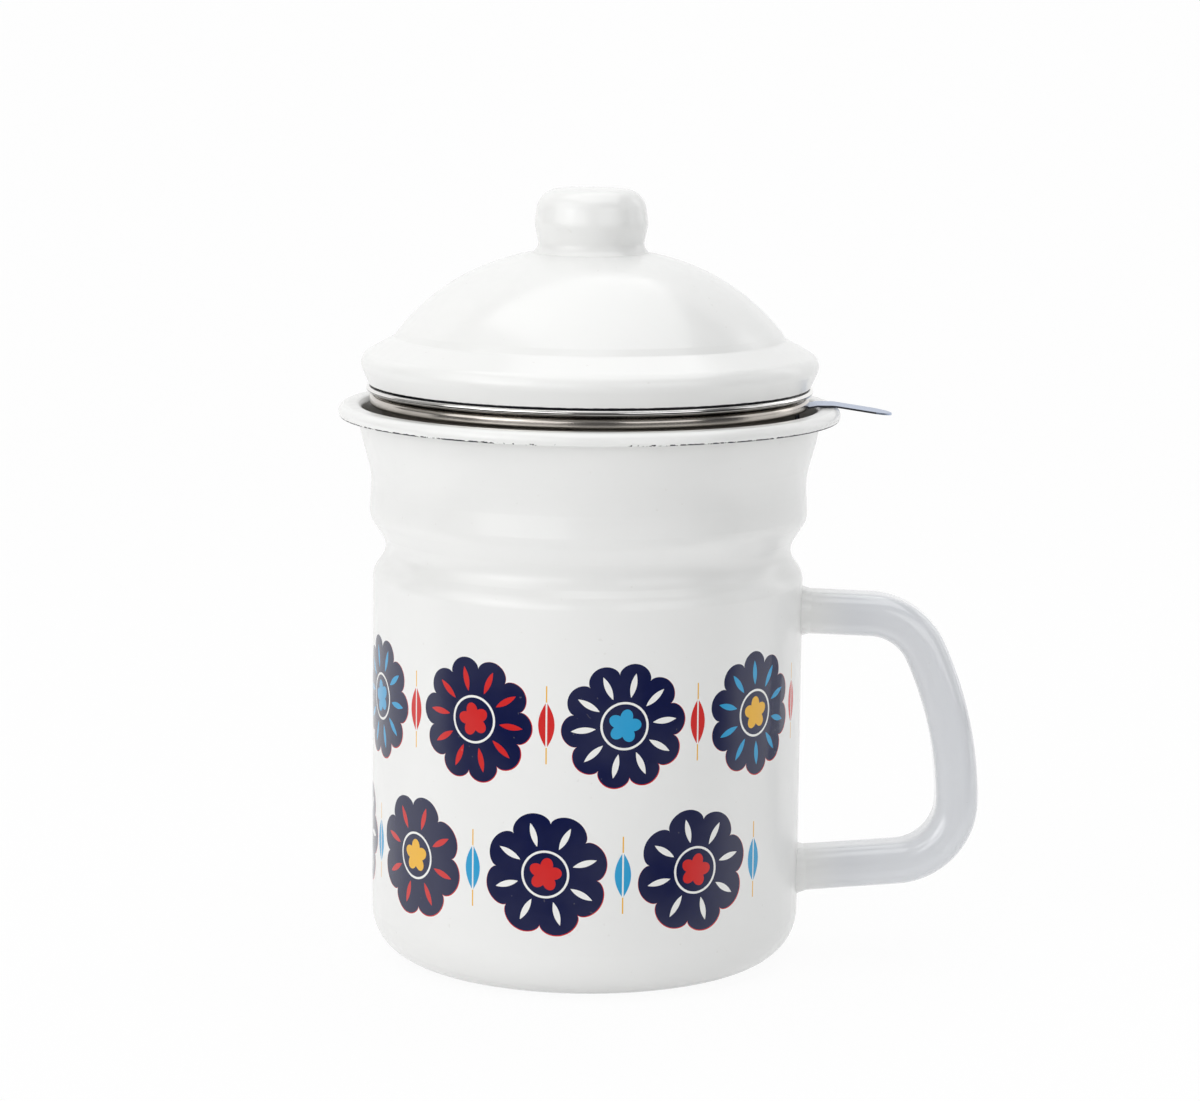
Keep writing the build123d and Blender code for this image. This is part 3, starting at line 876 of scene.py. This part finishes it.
# ---- room: sweep, lamps and camera ----------------------------------------------------------
# A white sweep under and behind the pot, wide at the front so that no side sees past it. A
# large soft lamp stands high on the left, one hangs overhead, and three weaker ones light the
# front, the low left and the back of the right side.

SWEEP_HALF, SWEEP_FRONT_HALF = 2.6, 8.0
SWEEP_BACK, SWEEP_FRONT, SWEEP_TOP = 1.5, -6.0, 2.4
SWEEP_BEND, SWEEP_BEND_STEPS = 0.6, 12
PAPER_WHITE = (0.93, 0.93, 0.93, 1)
PAPER_GLOW = 0.94
CARD_FROM, CARD_TO, CARD_LEVEL = -150.0, -40.0, 0.07

profile = [(SWEEP_FRONT, 0.0), (SWEEP_BACK - SWEEP_BEND, 0.0)]
for step in range(1, SWEEP_BEND_STEPS + 1):
    turn_by = radians(90 * step / SWEEP_BEND_STEPS)
    profile.append(
        (SWEEP_BACK - SWEEP_BEND + SWEEP_BEND * sin(turn_by), SWEEP_BEND * (1 - cos(turn_by)))
    )
profile.append((SWEEP_BACK, SWEEP_TOP))
sweep_points = []
for back, height in profile:
    half = SWEEP_FRONT_HALF if back == SWEEP_FRONT else SWEEP_HALF
    sweep_points += [(-half, back, height), (half, back, height)]
sweep_mesh = bpy.data.meshes.new("sweep")
sweep_mesh.from_pydata(
    sweep_points, [],
    [(2 * i, 2 * i + 1, 2 * i + 3, 2 * i + 2) for i in range(len(profile) - 1)],
)
for face in sweep_mesh.polygons:
    face.use_smooth = True
sweep = bpy.data.objects.new("sweep", sweep_mesh)
bpy.context.scene.collection.objects.link(sweep)

# paper that lights the pot as plain paper does, and is pure white to the lens
white_sweep = bpy.data.materials.new("white sweep")
white_sweep.use_nodes = True
white_sweep.cycles.emission_sampling = "NONE"
tree = white_sweep.node_tree
tree.nodes.clear()
paper = tree.nodes.new("ShaderNodeBsdfDiffuse")
paper.inputs["Color"].default_value = PAPER_WHITE
glow = tree.nodes.new("ShaderNodeEmission")
glow.inputs["Color"].default_value = (1, 1, 1, 1)
rays = tree.nodes.new("ShaderNodeLightPath")
seen = math_of(
    tree, "MAXIMUM", rays.outputs["Is Camera Ray"],
    math_of(tree, "MAXIMUM", rays.outputs["Is Glossy Ray"], rays.outputs["Is Transmission Ray"]),
)
# in reflections the paper darkens towards the front, as under a dark card by the lens
card = ramp_of(tree, place_in_mm(tree)[2], CARD_FROM, CARD_TO, CARD_LEVEL, 1.0)
tree.links.new(
    math_of(tree, "MAXIMUM", card, rays.outputs["Is Camera Ray"]), glow.inputs["Strength"]
)
both = tree.nodes.new("ShaderNodeMixShader")
for socket, term in zip(
    both.inputs, (product_of(tree, seen, PAPER_GLOW), paper.outputs[0], glow.outputs[0])
):
    tree.links.new(term, socket)
surface = tree.nodes.new("ShaderNodeOutputMaterial")
tree.links.new(both.outputs[0], surface.inputs["Surface"])
sweep_mesh.materials.append(white_sweep)

# the room's own light: warmer and brighter from the left, dimmer near the floor
WARM_LIGHT = (1, 0.995, 0.98, 1)
COOL_LIGHT = (0.92, 0.96, 1.0, 1)
LEFT_LEVEL, RIGHT_LEVEL, FLOOR_SHARE = 0.41, 0.14, 0.45

world = bpy.data.worlds.new("studio")
bpy.context.scene.world = world
world.use_nodes = True
tree = world.node_tree
tree.nodes.clear()
direction = tree.nodes.new("ShaderNodeTexCoord")
to_right, _, upwards = split_of(tree, direction.outputs["Generated"])
sky = tree.nodes.new("ShaderNodeBackground")
sky_level = product_of(
    tree, ramp_of(tree, to_right, -0.9, 1.0, LEFT_LEVEL, RIGHT_LEVEL),
    ramp_of(tree, upwards, 0.0, 0.40, FLOOR_SHARE, 1.0),
)
tree.links.new(sky_level, sky.inputs["Strength"])
tree.links.new(
    blend_of(tree, ramp_of(tree, to_right, -0.5, 0.9), WARM_LIGHT, COOL_LIGHT),
    sky.inputs["Color"],
)
world_out = tree.nodes.new("ShaderNodeOutputWorld")
tree.links.new(sky.outputs[0], world_out.inputs[0])


def soft_lamp(name, watts, wide, high, at, towards):
    data = bpy.data.lights.new(name, "AREA")
    data.shape = "RECTANGLE"
    data.size, data.size_y = wide, high
    data.energy = watts
    lamp = bpy.data.objects.new(name, data)
    lamp.location = at
    lamp.rotation_euler = (Vector(towards) - Vector(at)).to_track_quat("-Z", "Y").to_euler()
    bpy.context.scene.collection.objects.link(lamp)


soft_lamp("left_lamp", 11.8, 1.7, 1.8, (-1.55, -1.0, 1.0), (0, 0, 0.09))
soft_lamp("top_lamp", 17.0, 2.0, 1.8, (0.10, 0.05, 1.7), (0, 0, 0.1))
soft_lamp("front_lamp", 4.5, 1.3, 1.0, (1.05, -1.35, 0.6), (0, 0, 0.1))
soft_lamp("low_left_lamp", 7.2, 1.7, 0.9, (-1.05, -1.55, 0.42), (0, 0, 0.07))
soft_lamp("rear_right_lamp", 4.0, 1.4, 1.1, (1.5, 0.5, 0.65), (0, 0, 0.07))

# camera almost a metre off, a little above the lid and looking down
FOCAL_LENGTH, SENSOR_WIDTH = 114.895, 36.0
CAMERA_AT = (0.0029928, -0.950, 0.24908)
LOOKS_DOWN, ROLLS = 8.7608, 0.6248     # degrees
lens = bpy.data.cameras.new("camera")
lens.lens = FOCAL_LENGTH
lens.sensor_width = SENSOR_WIDTH
lens.clip_start, lens.clip_end = 0.05, 20.0
camera = bpy.data.objects.new("camera", lens)
camera.matrix_world = (
    Matrix.Translation(CAMERA_AT)
    @ Matrix.Rotation(radians(90 - LOOKS_DOWN), 4, "X")
    @ Matrix.Rotation(radians(ROLLS), 4, "Z")
)
bpy.context.scene.collection.objects.link(camera)
bpy.context.scene.camera = camera
bpy.context.scene.view_settings.view_transform = "Standard"
